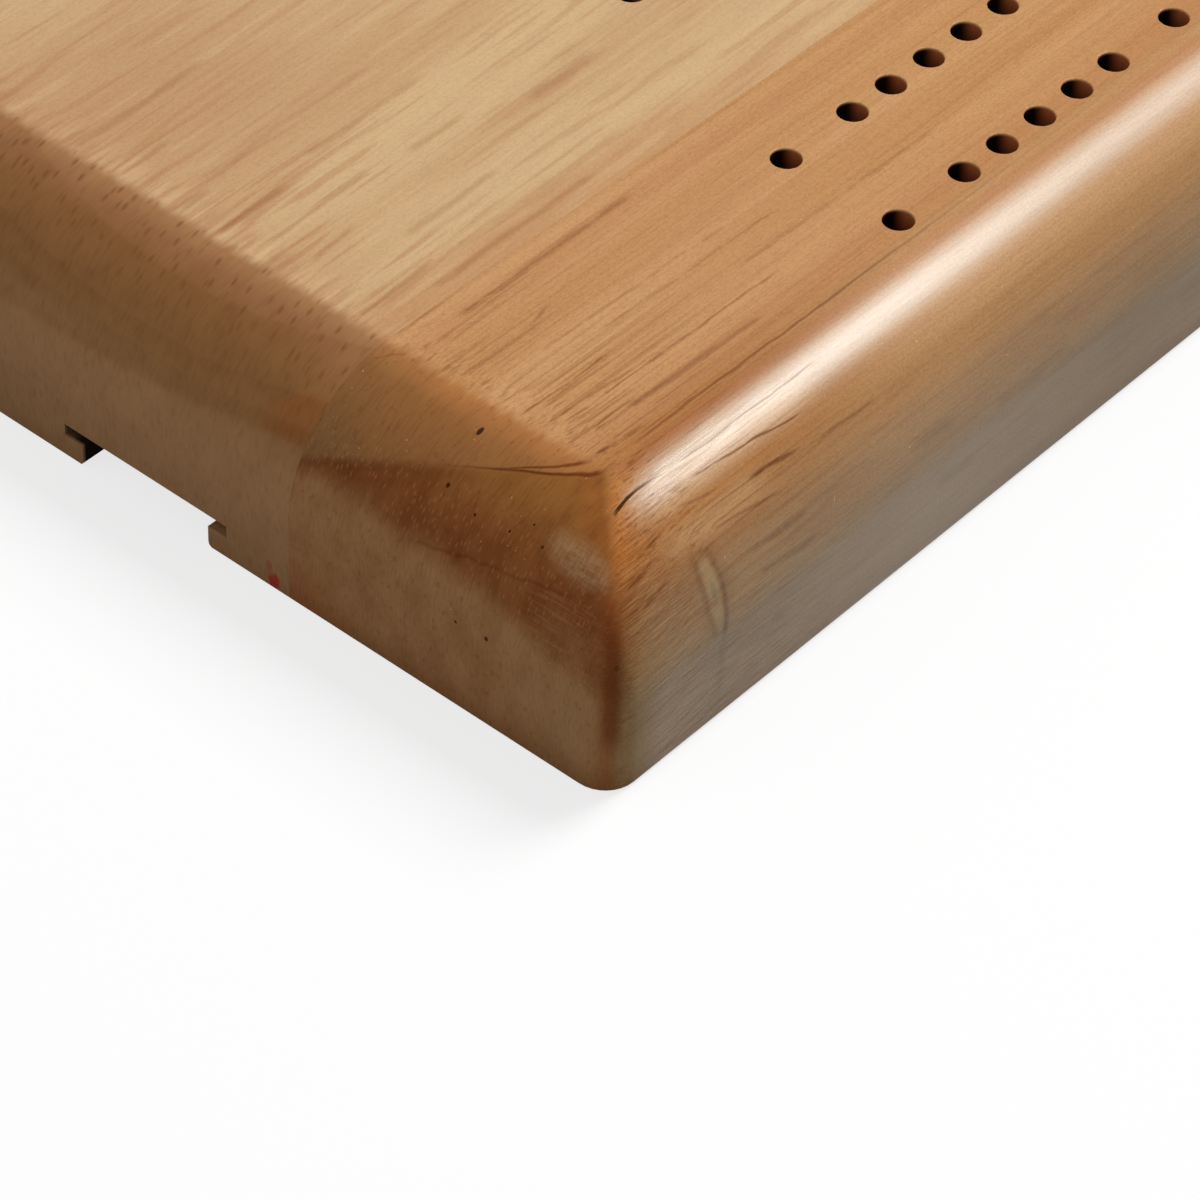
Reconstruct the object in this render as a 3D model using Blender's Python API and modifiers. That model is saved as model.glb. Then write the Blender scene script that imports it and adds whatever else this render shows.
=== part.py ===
"""Wooden cribbage board with a peg pocket in its underside.

Two boards glued edge to edge make the block. Its top edge is rounded over, rows of peg holes
are drilled down from the top, and a sheet metal lid slides in two side grooves of a channel
cut in the underside. Six turned pegs lie in the pocket behind the lid.

The block's long side lies along X, its width along Y, and it stands on Z = 0.
The near end, where the lid comes out, faces -X. The near long side faces -Y.
"""

import math

import bmesh
import bpy
from mathutils import Matrix, Vector

# The wooden block
BLOCK_LENGTH = 0.2580
BLOCK_WIDTH = 0.0922
BLOCK_THICKNESS = 0.0188
ROUND_OVER = 0.0110
CORNER_EASE = 0.0028
MITRE_EASE = 0.0012
FOOT_EASE = 0.0005
NEAR_STAVE_WIDTH = 0.0312
GLUE_LINE = 0.0001

# The drilled rows
HOLE_DIAMETER = 0.0025
HOLE_DEPTH = 0.0070
HOLE_PITCH = 0.0048
GROUP_GAP = 0.0081
START_GAP = 0.0081
OUTER_ROW_INSET = 0.0127
ROW_SPACING = 0.0109
HOLES_IN_GROUP = 5
GROUPS_IN_TRACK = 6
GROUPS_IN_GAME_ROW = 2
DRILL_POINT_ANGLE = math.radians(118)

# The lid's channel and the pocket behind it
MOUTH_WIDTH = 0.0132
LIP_THICKNESS = 0.0023
LIP_ROUND = 0.0009
GROOVE_HEIGHT = 0.0011
GROOVE_REACH = 0.0019
POCKET_INSET = 0.0300
POCKET_LENGTH = 0.0800
POCKET_CEILING = 0.0092

# The sliding lid
LID_THICKNESS = 0.0006
LID_SIDE_CLEARANCE = 0.0003
LID_LAP = 0.0080
LID_CORNER = 0.0015
NOTCH_DIAMETER = 0.0060

# The pegs
PEG_LENGTH = 0.0250
PEG_HEAD_DIAMETER = 0.0038
PEG_SHANK_LENGTH = 0.0080
PEG_SHANK_CLEARANCE = 0.0002
PEG_TIP_DIAMETER = 0.0018
PEG_WAIST_DIAMETER = 0.0020
PEG_COLLAR_HEIGHT = 0.0012
PEG_SIDE_CLEARANCE = 0.0003
PEG_LANES = 3

# Fit and drawing values
SEAT_CLEARANCE = 0.0003
OVERRUN = 0.0050
WELD_DISTANCE = 0.00001
ROUND_OVER_SEGMENTS = 10
EASE_SEGMENTS = 4
FOOT_SEGMENTS = 2
LIP_SEGMENTS = 3
HOLE_SIDES = 12
ARC_STEPS = 12
PEG_SIDES = 14
BALL_STEPS = 5

# Sizes that follow from those above
NEAR_END_X = -BLOCK_LENGTH / 2
GLUE_Y = NEAR_STAVE_WIDTH - BLOCK_WIDTH / 2
GROUP_LENGTH = (HOLES_IN_GROUP - 1) * HOLE_PITCH
TRACK_LENGTH = GROUPS_IN_TRACK * GROUP_LENGTH + (GROUPS_IN_TRACK - 1) * GROUP_GAP
START_X = -(START_GAP + TRACK_LENGTH) / 2
FIRST_HOLE_X = START_X + START_GAP
GROOVE_TOP = LIP_THICKNESS + GROOVE_HEIGHT
GROOVE_WIDTH = MOUTH_WIDTH + 2 * GROOVE_REACH
POCKET_START_X = NEAR_END_X + POCKET_INSET
POCKET_END_X = POCKET_START_X + POCKET_LENGTH
LID_WIDTH = GROOVE_WIDTH - 2 * LID_SIDE_CLEARANCE
LID_START_X = POCKET_START_X - LID_LAP
LID_END_X = POCKET_END_X + LID_LAP
LID_BOTTOM = LIP_THICKNESS + (GROOVE_HEIGHT - LID_THICKNESS) / 2
LID_TOP = LID_BOTTOM + LID_THICKNESS
CHANNEL_END_X = LID_END_X + LID_SIDE_CLEARANCE
PEG_AXIS_Z = LID_TOP + SEAT_CLEARANCE + PEG_HEAD_DIAMETER / 2


def clear_scene():
    for old in list(bpy.data.objects):
        bpy.data.objects.remove(old, do_unlink=True)


def new_collection(name):
    collection = bpy.data.collections.new(name)
    bpy.context.scene.collection.children.link(collection)
    return collection


def new_material(name, colour, roughness, metallic):
    material = bpy.data.materials.new(name)
    material.use_nodes = True
    shader = material.node_tree.nodes["Principled BSDF"]
    shader.inputs["Base Color"].default_value = (*colour, 1)
    shader.inputs["Roughness"].default_value = roughness
    shader.inputs["Metallic"].default_value = metallic
    material.diffuse_color = (*colour, 1)
    return material


def add_object(name, mesh, collection, material=None):
    """Puts a mesh in the scene: as a part with its material, or as a hidden cutter without."""
    obj = bpy.data.objects.new(name, mesh)
    collection.objects.link(obj)
    if material is None:
        obj.hide_render = True
        obj.display_type = "WIRE"
    else:
        mesh.materials.append(material)
    return obj


def combine(obj, cutter, operation):
    modifier = obj.modifiers.new(cutter.name, "BOOLEAN")
    modifier.operation = operation
    modifier.solver = "EXACT"
    modifier.object = cutter


def box_mesh(name, low, high):
    """A box between two corners."""
    low, high = Vector(low), Vector(high)
    form = bmesh.new()
    bmesh.ops.create_cube(form, size=1)
    bmesh.ops.transform(form, matrix=Matrix.Diagonal((*(high - low), 1)), verts=form.verts)
    bmesh.ops.translate(form, vec=(low + high) / 2, verts=form.verts)
    mesh = bpy.data.meshes.new(name)
    form.to_mesh(mesh)
    form.free()
    return mesh


def plate_mesh(name, outline, bottom, top):
    """A flat plate with the given outline, between two heights."""
    curve = bpy.data.curves.new(name, "CURVE")
    curve.dimensions = "2D"
    curve.fill_mode = "BOTH"
    curve.extrude = (top - bottom) / 2
    spline = curve.splines.new("POLY")
    spline.points.add(len(outline) - 1)
    for point, (x, y) in zip(spline.points, outline):
        point.co = (x, y, 0, 1)
    spline.use_cyclic_u = True
    drawn = bpy.data.objects.new(name, curve)
    bpy.context.scene.collection.objects.link(drawn)
    graph = bpy.context.evaluated_depsgraph_get()
    mesh = bpy.data.meshes.new_from_object(drawn.evaluated_get(graph))
    bpy.data.objects.remove(drawn, do_unlink=True)
    form = bmesh.new()
    form.from_mesh(mesh)
    bmesh.ops.remove_doubles(form, verts=form.verts, dist=WELD_DISTANCE)
    bmesh.ops.translate(form, vec=(0, 0, (bottom + top) / 2), verts=form.verts)
    bmesh.ops.recalc_face_normals(form, faces=form.faces)
    form.to_mesh(mesh)
    form.free()
    return mesh


def arc(centre_x, centre_y, radius, start, end, steps):
    """Points along an arc, with its angles in quarter turns."""
    points = []
    for step in range(steps + 1):
        angle = math.radians(90) * (start + (end - start) * step / steps)
        points.append((centre_x + radius * math.cos(angle), centre_y + radius * math.sin(angle)))
    return points


def tongue(start_x, end_x, width, corner):
    """An outline with a round inner end at +X, and an outer end with its two corners rounded."""
    half = width / 2
    return (
        arc(end_x - half, 0, half, -1, 1, 2 * ARC_STEPS)
        + arc(start_x + corner, half - corner, corner, 1, 2, EASE_SEGMENTS)
        + arc(start_x + corner, corner - half, corner, 2, 3, EASE_SEGMENTS)
    )


def stadium(start_x, end_x, width):
    """An outline with both ends round, as a router bit of this width leaves it."""
    half = width / 2
    return arc(end_x - half, 0, half, -1, 1, 2 * ARC_STEPS) + arc(
        start_x + half, 0, half, 1, 3, 2 * ARC_STEPS
    )


def group_places(group):
    """X of every hole in one group of a row."""
    group_x = FIRST_HOLE_X + group * (GROUP_LENGTH + GROUP_GAP)
    return [group_x + hole * HOLE_PITCH for hole in range(HOLES_IN_GROUP)]


def track_places():
    """X of the start hole and of every hole in one track row."""
    places = [START_X]
    for group in range(GROUPS_IN_TRACK):
        places += group_places(group)
    return places


def game_places():
    """X of every hole in the middle row, in line with the tracks' holes."""
    places = []
    for group in range(GROUPS_IN_GAME_ROW):
        places += group_places(group)
    return places


def loft_mesh(name, outlines):
    """A closed form between level outlines, from the lowest up: pairs of outline and height."""
    form = bmesh.new()
    rings = []
    for outline, height in outlines:
        rings.append([form.verts.new((x, y, height)) for x, y in outline])
    for lower, upper in zip(rings, rings[1:]):
        for index in range(len(lower)):
            before = index - 1
            form.faces.new((lower[before], lower[index], upper[index], upper[before]))
    form.faces.new(rings[0][::-1])
    form.faces.new(rings[-1])
    mesh = bpy.data.meshes.new(name)
    form.to_mesh(mesh)
    form.free()
    return mesh


def drill_mesh(name, rows):
    """The drilled holes of some rows as one cutter: a blind hole with a pointed bottom each."""
    radius = HOLE_DIAMETER / 2
    point_height = radius / math.tan(DRILL_POINT_ANGLE / 2)
    shoulder = BLOCK_THICKNESS - HOLE_DEPTH
    top = BLOCK_THICKNESS + OVERRUN
    form = bmesh.new()
    for y, places in rows:
        for x in places:
            middle = Matrix.Translation((x, y, (shoulder + top) / 2))
            made = bmesh.ops.create_cone(
                form,
                cap_ends=True,
                segments=HOLE_SIDES,
                radius1=radius,
                radius2=radius,
                depth=top - shoulder,
                matrix=middle,
            )
            faces = {face for vertex in made["verts"] for face in vertex.link_faces}
            bottom = min(faces, key=lambda face: face.calc_center_median().z)
            tip = bmesh.ops.poke(form, faces=[bottom])["verts"]
            bmesh.ops.translate(form, vec=(0, 0, -point_height), verts=tip)
    mesh = bpy.data.meshes.new(name)
    form.to_mesh(mesh)
    form.free()
    return mesh


def rounded_rectangle(half_length, half_width, corner):
    """The outline of a rectangle with round corners."""
    points = []
    for quarter, (side_x, side_y) in enumerate(((1, 1), (-1, 1), (-1, -1), (1, -1))):
        centre_x = side_x * (half_length - corner)
        centre_y = side_y * (half_width - corner)
        points += arc(centre_x, centre_y, corner, quarter, quarter + 1, EASE_SEGMENTS)
    return points


def block_sections():
    """How far each level outline of the block is set in, and its height, from the foot up."""
    sections = []
    for inset, rise in arc(FOOT_EASE, FOOT_EASE, FOOT_EASE, 2, 3, FOOT_SEGMENTS)[::-1]:
        sections.append((inset, rise))
    shoulder = BLOCK_THICKNESS - ROUND_OVER
    for inset, rise in arc(ROUND_OVER, shoulder, ROUND_OVER, 1, 2, ROUND_OVER_SEGMENTS)[::-1]:
        sections.append((inset, rise))
    return sections


def block_mesh(name):
    """The whole block. The router follows the outline, so its round edges meet in mitres."""
    outlines = []
    for inset, height in block_sections():
        corner = max(CORNER_EASE - inset, MITRE_EASE)
        outline = rounded_rectangle(BLOCK_LENGTH / 2 - inset, BLOCK_WIDTH / 2 - inset, corner)
        outlines.append((outline, height))
    return loft_mesh(name, outlines)


def mouth_mesh(name, start_x, end_x):
    """The channel's mouth as a cutter. Its lips are rounded where it meets the underside."""
    lip_round = min(LIP_ROUND, LIP_THICKNESS / 2)
    sections = [(lip_round, -OVERRUN)]
    sections += arc(lip_round, lip_round, lip_round, 3, 2, LIP_SEGMENTS)
    sections.append((0, GROOVE_TOP))
    outlines = []
    for grown, height in sections:
        outline = stadium(start_x - grown, end_x + grown, MOUTH_WIDTH + 2 * grown)
        outlines.append((outline, height))
    return loft_mesh(name, outlines)


def add_stave(name, low_y, high_y, parts, cutters, material):
    """One board of the glue-up: the part of the block between two upright planes."""
    stave = add_object(name, block_mesh(name), parts, material)
    reach = BLOCK_LENGTH / 2 + OVERRUN
    low = (-reach, low_y, -OVERRUN)
    high = (reach, high_y, BLOCK_THICKNESS + OVERRUN)
    blank = box_mesh(name + "_blank", low, high)
    combine(stave, add_object(blank.name, blank, cutters), "INTERSECT")
    return stave


def drill_rows(staves, cutters):
    """The four track rows and the middle row, drilled after the glue-up."""
    outer_y = BLOCK_WIDTH / 2 - OUTER_ROW_INSET
    inner_y = outer_y - ROW_SPACING
    rows = [(y, track_places()) for y in (-outer_y, -inner_y, inner_y, outer_y)]
    rows.append((0, game_places()))
    drilled = add_object("drilled_rows", drill_mesh("drilled_rows", rows), cutters)
    for stave in staves:
        combine(stave, drilled, "DIFFERENCE")


def cut_channel(staves, cutters):
    """The lid's channel, open at the near end, and the deeper pocket that it covers.

    It is cut in the glued block, wherever the glue line runs. The cut starts a whole half
    round outside the near end, so it leaves there at its full width.
    """
    outer_x = NEAR_END_X - GROOVE_WIDTH / 2 - OVERRUN
    mouth_end_x = CHANNEL_END_X - GROOVE_REACH
    grooves = stadium(outer_x, CHANNEL_END_X, GROOVE_WIDTH)
    pocket = stadium(POCKET_START_X, POCKET_END_X, MOUTH_WIDTH)
    hollows = (
        mouth_mesh("channel_mouth", outer_x, mouth_end_x),
        plate_mesh("lid_grooves", grooves, LIP_THICKNESS, GROOVE_TOP),
        plate_mesh("peg_pocket", pocket, LIP_THICKNESS, POCKET_CEILING),
    )
    for mesh in hollows:
        cutter = add_object(mesh.name, mesh, cutters)
        for stave in staves:
            combine(stave, cutter, "DIFFERENCE")


def add_lid(parts, cutters, material):
    """The sheet metal lid, closed, with a half-round thumb notch in its outer end."""
    outline = tongue(LID_START_X, LID_END_X, LID_WIDTH, LID_CORNER)
    mesh = plate_mesh("lid", outline, LID_BOTTOM, LID_TOP)
    lid = add_object("lid", mesh, parts, material)
    radius = NOTCH_DIAMETER / 2
    notch = stadium(LID_START_X - 2 * radius, LID_START_X + radius, NOTCH_DIAMETER)
    cutter = plate_mesh("thumb_notch", notch, LID_BOTTOM - OVERRUN, LID_TOP + OVERRUN)
    combine(lid, add_object("thumb_notch", cutter, cutters), "DIFFERENCE")
    return lid


def peg_profile():
    """Half of a turned peg, from its ball end down to its tip, as (radius, height) pairs."""
    head = PEG_HEAD_DIAMETER / 2
    waist = PEG_WAIST_DIAMETER / 2
    shank = HOLE_DIAMETER / 2 - PEG_SHANK_CLEARANCE
    collar = PEG_SHANK_LENGTH + PEG_COLLAR_HEIGHT
    ball_z = PEG_LENGTH - head
    reach = math.acos(waist / head)
    profile = [(0, PEG_LENGTH)]
    for step in range(1, BALL_STEPS + 1):
        angle = math.radians(90) - (math.radians(90) + reach) * step / BALL_STEPS
        profile.append((head * math.cos(angle), ball_z + head * math.sin(angle)))
    profile += [
        (waist, collar + PEG_COLLAR_HEIGHT),
        (head, collar),
        (head, PEG_SHANK_LENGTH),
        (shank, PEG_SHANK_LENGTH),
        (PEG_TIP_DIAMETER / 2, 0),
        (0, 0),
    ]
    return profile


def peg_mesh(name):
    profile = peg_profile()
    mesh = bpy.data.meshes.new(name)
    form = bmesh.new()
    vertices = [form.verts.new((radius, 0, height)) for radius, height in profile]
    for upper, lower in zip(vertices, vertices[1:]):
        form.edges.new((upper, lower))
    form.to_mesh(mesh)
    form.free()
    return mesh


def add_peg(name, x, y, heading, parts, material):
    """A peg on its side in the pocket. Its tip is at x, and its head points along heading."""
    peg = add_object(name, peg_mesh(name), parts, material)
    turn = peg.modifiers.new("turned", "SCREW")
    turn.steps = PEG_SIDES
    turn.render_steps = PEG_SIDES
    turn.use_merge_vertices = True
    turn.merge_threshold = WELD_DISTANCE
    turn.use_smooth_shade = True
    peg.location = (x, y, PEG_AXIS_Z)
    peg.rotation_euler = (0, math.radians(90) * heading, 0)
    return peg


def add_pegs(parts, materials):
    """Two pegs in each lane of the pocket, one lying at either end, tips to the middle."""
    end_reach = MOUTH_WIDTH / 2
    lane_reach = MOUTH_WIDTH / 2 - PEG_SIDE_CLEARANCE - PEG_HEAD_DIAMETER / 2
    lane_step = 2 * lane_reach / (PEG_LANES - 1)
    outer_tip_x = POCKET_START_X + end_reach + PEG_LENGTH
    inner_tip_x = POCKET_END_X - end_reach - PEG_LENGTH
    for metal, tip_x, heading in (("brass", outer_tip_x, -1), ("steel", inner_tip_x, 1)):
        for lane in range(PEG_LANES):
            name = f"{metal}_peg_{lane + 1}"
            add_peg(name, tip_x, lane * lane_step - lane_reach, heading, parts, materials[metal])


def main():
    clear_scene()
    parts = new_collection("cribbage_board")
    cutters = new_collection("cutters")
    near_wood = new_material("near_stave_wood", (0.50, 0.25, 0.10), 0.35, 0)
    far_wood = new_material("far_stave_wood", (0.60, 0.40, 0.21), 0.35, 0)
    lid_steel = new_material("lid_steel", (0.62, 0.62, 0.60), 0.35, 1)
    metals = {
        "brass": new_material("peg_brass", (0.80, 0.58, 0.24), 0.25, 1),
        "steel": new_material("peg_steel", (0.66, 0.66, 0.66), 0.22, 1),
    }
    half_width = BLOCK_WIDTH / 2
    near_side = (-half_width - OVERRUN, GLUE_Y - GLUE_LINE / 2)
    far_side = (GLUE_Y + GLUE_LINE / 2, half_width + OVERRUN)
    near_stave = add_stave("near_stave", *near_side, parts, cutters, near_wood)
    far_stave = add_stave("far_stave", *far_side, parts, cutters, far_wood)
    staves = (near_stave, far_stave)
    drill_rows(staves, cutters)
    cut_channel(staves, cutters)
    add_lid(parts, cutters, lid_steel)
    add_pegs(parts, metals)
    bpy.context.view_layer.update()


main()
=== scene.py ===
"""Cribbage board: the looks of the glued and varnished block, its steel lid and its turned pegs.

All lengths are in metres. Wood finishes measure in millimetres from the block's near bottom corner.
"""

import math

import bmesh
import bpy
from mathutils import Matrix, Vector


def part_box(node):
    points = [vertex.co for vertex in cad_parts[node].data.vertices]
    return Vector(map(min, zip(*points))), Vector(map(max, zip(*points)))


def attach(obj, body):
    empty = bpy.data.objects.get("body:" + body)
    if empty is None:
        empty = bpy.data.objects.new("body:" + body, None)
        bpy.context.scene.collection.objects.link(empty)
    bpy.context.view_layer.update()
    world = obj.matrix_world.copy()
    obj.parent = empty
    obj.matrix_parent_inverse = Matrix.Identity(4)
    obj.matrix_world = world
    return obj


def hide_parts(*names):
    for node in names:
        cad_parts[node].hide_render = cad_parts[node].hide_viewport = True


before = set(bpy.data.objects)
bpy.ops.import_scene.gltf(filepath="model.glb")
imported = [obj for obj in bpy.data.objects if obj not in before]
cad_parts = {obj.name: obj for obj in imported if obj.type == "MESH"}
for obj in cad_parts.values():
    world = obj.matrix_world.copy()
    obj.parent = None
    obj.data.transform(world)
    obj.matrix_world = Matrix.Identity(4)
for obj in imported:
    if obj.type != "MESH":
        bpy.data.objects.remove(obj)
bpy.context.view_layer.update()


# Near stave
# The orange-brown board of the glue-up, with two rows of peg holes along its outer side.
# It is planed rubberwood. A router rounded the top edge over after the glue-up, so the round
# edges of the side and the end meet in a mitre, and the whole is sanded and varnished.

ROUND_OVER = 0.0110
CORNER_EASE = 0.0028
MITRE_EASE = 0.0012
FOOT_EASE = 0.0005
ROUND_OVER_STEPS = 28
CORNER_STEPS = 8
FOOT_STEPS = 3
GLUE_GAP = 0.000004
SHARP_ANGLE = math.radians(40)

HOLE_RADIUS = 0.00125
HOLE_DEPTH = 0.0070
HOLE_PITCH = 0.0048
GROUP_GAP = 0.0081
START_GAP = 0.0081
OUTER_ROW_INSET = 0.0127
ROW_SPACING = 0.0109
HOLES_IN_GROUP = 5
GROUPS_IN_TRACK = 6
DRILL_POINT_ANGLE = math.radians(118)
RIM_EASE = 0.00016
RIM_STEPS = 5
HOLE_SIDES = 36
OVERRUN = 0.004

near_low, near_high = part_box("near_stave")
far_low, far_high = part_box("far_stave")
BLOCK_LOW = Vector((near_low.x, near_low.y, near_low.z))
BLOCK_HIGH = Vector((far_high.x, far_high.y, far_high.z))
GLUE_Y = (near_high.y + far_low.y) / 2
GROUP_LENGTH = (HOLES_IN_GROUP - 1) * HOLE_PITCH
TRACK_LENGTH = GROUPS_IN_TRACK * GROUP_LENGTH + (GROUPS_IN_TRACK - 1) * GROUP_GAP
START_X = -(START_GAP + TRACK_LENGTH) / 2


def arc(centre_x, centre_y, radius, start, end, steps):
    """Points along an arc, with its angles in quarter turns."""
    angles = [math.pi / 2 * (start + (end - start) * step / steps) for step in range(steps + 1)]
    return [(centre_x + radius * math.cos(a), centre_y + radius * math.sin(a)) for a in angles]


def bridge(form, rings, cap_ends=True):
    """Faces between level outlines, from the lowest up. An outline of one point is a tip."""
    count = max(len(ring) for ring in rings)
    for lower, upper in zip(rings, rings[1:]):
        for side in range(count):
            after = (side + 1) % count
            corners = [
                lower[side % len(lower)],
                lower[after % len(lower)],
                upper[after % len(upper)],
                upper[side % len(upper)],
            ]
            form.faces.new(list(dict.fromkeys(corners)))
    if cap_ends and len(rings[0]) > 1:
        form.faces.new(rings[0][::-1])
    if cap_ends and len(rings[-1]) > 1:
        form.faces.new(rings[-1])


def finished(form, name):
    """The mesh as an object in the scene, with its faces turned outward."""
    mesh = bpy.data.meshes.new(name)
    bmesh.ops.recalc_face_normals(form, faces=form.faces)
    form.to_mesh(mesh)
    form.free()
    obj = bpy.data.objects.new(name, mesh)
    bpy.context.scene.collection.objects.link(obj)
    return obj


def smooth(obj):
    obj.data.shade_smooth()
    obj.data.set_sharp_from_angle(angle=SHARP_ANGLE)
    weigh = obj.modifiers.new("even_normals", "WEIGHTED_NORMAL")
    weigh.keep_sharp = True


def block_outline(inset):
    """The block's outline, set in, with the corner that is left of its eased corner."""
    corner = max(CORNER_EASE - inset, MITRE_EASE)
    low_x, low_y = BLOCK_LOW.x + inset + corner, BLOCK_LOW.y + inset + corner
    high_x, high_y = BLOCK_HIGH.x - inset - corner, BLOCK_HIGH.y - inset - corner
    centres = ((high_x, high_y), (low_x, high_y), (low_x, low_y), (high_x, low_y))
    points = []
    for quarter, (x, y) in enumerate(centres):
        points += arc(x, y, corner, quarter, quarter + 1, CORNER_STEPS)
    return points


def plain_stave(name, low_y, high_y):
    """The part of the rounded-over block between two upright planes."""
    shoulder = BLOCK_HIGH.z - ROUND_OVER
    sections = arc(FOOT_EASE, FOOT_EASE, FOOT_EASE, 2, 3, FOOT_STEPS)[::-1]
    sections += arc(ROUND_OVER, shoulder, ROUND_OVER, 1, 2, ROUND_OVER_STEPS)[::-1]
    form = bmesh.new()
    rings = []
    for inset, height in sections:
        rings.append([form.verts.new((x, y, height)) for x, y in block_outline(inset)])
    bridge(form, rings)
    for cut_y, outward in ((low_y, -1), (high_y, 1)):
        if not BLOCK_LOW.y < cut_y < BLOCK_HIGH.y:
            continue
        everything = form.verts[:] + form.edges[:] + form.faces[:]
        cut = bmesh.ops.bisect_plane(
            form,
            geom=everything,
            dist=1e-7,
            plane_co=(0, cut_y, 0),
            plane_no=(0, outward, 0),
            clear_outer=True,
        )
        edges = [item for item in cut["geom_cut"] if isinstance(item, bmesh.types.BMEdge)]
        bmesh.ops.edgeloop_fill(form, edges=edges)
    return finished(form, name)


def track_places():
    """X of the start hole and of every hole in one track row."""
    places = [START_X]
    for group in range(GROUPS_IN_TRACK):
        group_x = START_X + START_GAP + group * (GROUP_LENGTH + GROUP_GAP)
        places += [group_x + hole * HOLE_PITCH for hole in range(HOLES_IN_GROUP)]
    return places


def turn(form, profile, sides, x=0, y=0):
    """A turned solid about an upright line: pairs of radius and height, from the bottom up."""
    rings = []
    for radius, height in profile:
        angles = [2 * math.pi * side / sides for side in range(sides if radius else 1)]
        rings.append(
            [
                form.verts.new((x + radius * math.cos(a), y + radius * math.sin(a), height))
                for a in angles
            ]
        )
    bridge(form, rings)


def drills(name, rows):
    """The drilled holes as one cutter. The sanding left a small round on every rim."""
    top = BLOCK_HIGH.z
    shoulder = top - HOLE_DEPTH
    point = HOLE_RADIUS / math.tan(DRILL_POINT_ANGLE / 2)
    profile = [(0, shoulder - point), (HOLE_RADIUS, shoulder)]
    lift = RIM_EASE / 20
    rim = arc(HOLE_RADIUS + RIM_EASE, top - RIM_EASE + lift, RIM_EASE, 1, 2, RIM_STEPS)[::-1]
    profile += rim + [(HOLE_RADIUS + RIM_EASE, top + OVERRUN)]
    form = bmesh.new()
    for y, places in rows:
        for x in places:
            turn(form, profile, HOLE_SIDES, x, y)
    return finished(form, name)


def carve(stave, *cutters):
    """Cuts the forms out of a stave for good, and clears them away."""
    for cutter in cutters:
        cut = stave.modifiers.new(cutter.name, "BOOLEAN")
        cut.operation = "DIFFERENCE"
        cut.solver = "EXACT"
        cut.object = cutter
    graph = bpy.context.evaluated_depsgraph_get()
    carved = bpy.data.meshes.new_from_object(stave.evaluated_get(graph))
    stave.modifiers.clear()
    stave.data = carved
    for cutter in cutters:
        bpy.data.objects.remove(cutter, do_unlink=True)


class Shade:
    """A socket among a material's nodes. Arithmetic on it adds Math nodes."""

    def __init__(self, tree, socket=None):
        self.tree = tree
        self.socket = socket

    def node(self, kind, settings, values, output=0):
        """Adds a node: its settings first, then the values or links of its sockets."""
        made = self.tree.nodes.new(kind)
        for name, value in settings.items():
            if name == "stops":
                fill_ramp(made.color_ramp, value)
            else:
                setattr(made, name, value)
        for name, value in values.items():
            if isinstance(value, Shade):
                self.tree.links.new(value.socket, made.inputs[name])
            else:
                made.inputs[name].default_value = value
        return Shade(self.tree, made.outputs[output] if made.outputs else None)

    def other(self, output):
        """Another output of the node that this socket is on."""
        return Shade(self.tree, self.socket.node.outputs[output])

    def math(self, operation, *values):
        return self.node("ShaderNodeMath", {"operation": operation}, dict(enumerate(values)))

    def __add__(self, value):
        return self.math("ADD", self, value)

    def __radd__(self, value):
        return self.math("ADD", value, self)

    def __sub__(self, value):
        return self.math("SUBTRACT", self, value)

    def __rsub__(self, value):
        return self.math("SUBTRACT", value, self)

    def __mul__(self, value):
        return self.math("MULTIPLY", self, value)

    def __rmul__(self, value):
        return self.math("MULTIPLY", value, self)

    def __truediv__(self, value):
        return self.math("DIVIDE", self, value)

    def __pow__(self, value):
        return self.math("POWER", self, value)

    def size(self):
        return self.math("ABSOLUTE", self)

    def axes(self):
        """The three numbers of a place or a direction."""
        first = self.node("ShaderNodeSeparateXYZ", {}, {0: self})
        return first, first.other(1), first.other(2)

    def rise(self, low, high):
        """0 below low and 1 above high, eased. With low above high it falls instead."""
        settings = {"interpolation_type": "SMOOTHSTEP"}
        return self.node(
            "ShaderNodeMapRange", settings, {"Value": self, "From Min": low, "From Max": high}
        )

    def near(self, value, reach, core=0):
        """1 within core of a value, fading to 0 at its reach."""
        return (self - value).size().rise(reach, core)

    def scaled(self, stretch, shift=(0, 0, 0)):
        """A place, stretched and shifted along each axis."""
        return self.node(
            "ShaderNodeVectorMath", {"operation": "MULTIPLY_ADD"}, {0: self, 1: stretch, 2: shift}
        )

    def noise(self, stretch, detail=2, roughness=0.5, distortion=0, shift=(0, 0, 0)):
        """Cloudy noise from 0 to 1, on this place."""
        return self.node(
            "ShaderNodeTexNoise",
            {"noise_dimensions": "3D"},
            {
                "Vector": self.scaled(stretch, shift),
                "Scale": 1,
                "Detail": detail,
                "Roughness": roughness,
                "Distortion": distortion,
            },
        )

    def mixed(self, first, second, mode="MIX"):
        """Two colours, mixed by this share of the second."""
        return self.node(
            "ShaderNodeMix",
            {"data_type": "RGBA", "blend_type": mode, "clamp_factor": True},
            {0: self, 6: first, 7: second},
            output=2,
        )

    def toned(self, colour, tone):
        """A colour, multiplied by a tone in this share."""
        return self.mixed(colour, (*tone, 1), "MULTIPLY")


def fill_ramp(ramp, stops):
    """Gives a colour ramp its stops: pairs of a place from 0 to 1 and a colour."""
    for _ in stops[2:]:
        ramp.elements.new(0.5)
    for element, (place, colour) in zip(ramp.elements, stops):
        element.position = place
        element.color = colour


def new_material(name):
    """A material with no nodes yet, and the start of its sums."""
    material = bpy.data.materials.new(name)
    material.use_nodes = True
    material.node_tree.nodes.clear()
    return material, Shade(material.node_tree)


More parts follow.
